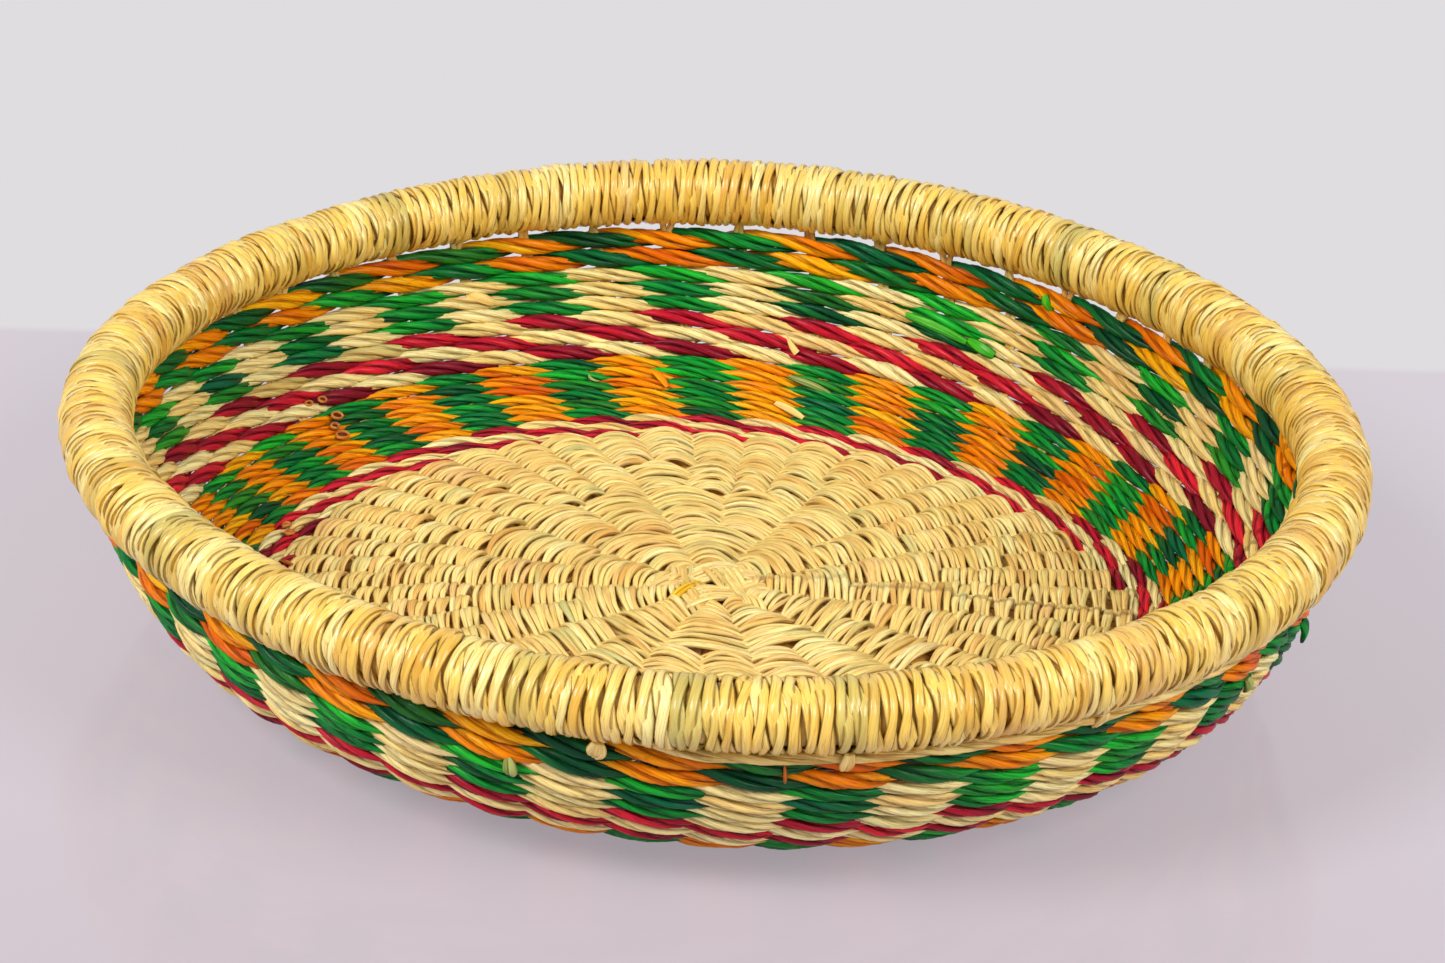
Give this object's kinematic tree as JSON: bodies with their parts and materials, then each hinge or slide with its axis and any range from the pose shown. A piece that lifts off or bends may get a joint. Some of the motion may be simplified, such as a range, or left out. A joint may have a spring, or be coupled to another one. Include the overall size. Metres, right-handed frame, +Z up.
{
  "type": "woven nesting basket",
  "caption": "Shallow round basket of twined straw with a curved striped and chequered wall, a gently domed woven base and a thick wrapped rim; it holds fruit, bread or small things.",
  "frame": {"origin": "middle of the underside, on the plane of the table", "axes": "+Z up through the mouth of the basket; +Y towards the side that is at the back of the picture"},
  "size_m": [0.4014, 0.4018, 0.0877],
  "materials": {
    "natural_straw": "undyed straw, dry satin",
    "golden_straw": "undyed golden straw, dry satin",
    "green_straw": "green dyed straw, dry satin",
    "orange_straw": "orange dyed straw, dry satin",
    "crimson_straw": "crimson dyed straw, dry satin"
  },
  "bodies": {
    "root": {"base_cross": "natural_straw", "base_inner_weave": "natural_straw", "base_outer_weave": "natural_straw", "green_band": "green_straw", "lower_check_band": "crimson_straw", "orange_band": "orange_straw", "rim_band": "orange_straw", "rim_core_hoop": "natural_straw", "rim_lashing": "natural_straw", "rim_wrap_01": "golden_straw", "rim_wrap_02": "golden_straw", "rim_wrap_03": "golden_straw", "rim_wrap_04": "golden_straw", "rim_wrap_05": "golden_straw", "rim_wrap_06": "golden_straw", "rim_wrap_07": "golden_straw", "rim_wrap_08": "golden_straw", "rim_wrap_09": "golden_straw", "rim_wrap_10": "golden_straw", "rim_wrap_11": "golden_straw", "rim_wrap_12": "golden_straw", "rim_wrap_13": "golden_straw", "rim_wrap_14": "golden_straw", "rim_wrap_15": "golden_straw", "rim_wrap_16": "golden_straw", "rim_wrap_17": "golden_straw", "rim_wrap_18": "golden_straw", "rim_wrap_19": "golden_straw", "rim_wrap_20": "golden_straw", "rim_wrap_21": "golden_straw", "rim_wrap_22": "golden_straw", "rim_wrap_23": "golden_straw", "rim_wrap_24": "golden_straw", "rim_wrap_25": "golden_straw", "rim_wrap_26": "golden_straw", "rim_wrap_27": "golden_straw", "rim_wrap_28": "golden_straw", "upper_check_band": "crimson_straw"}
  },
  "joints": []
}
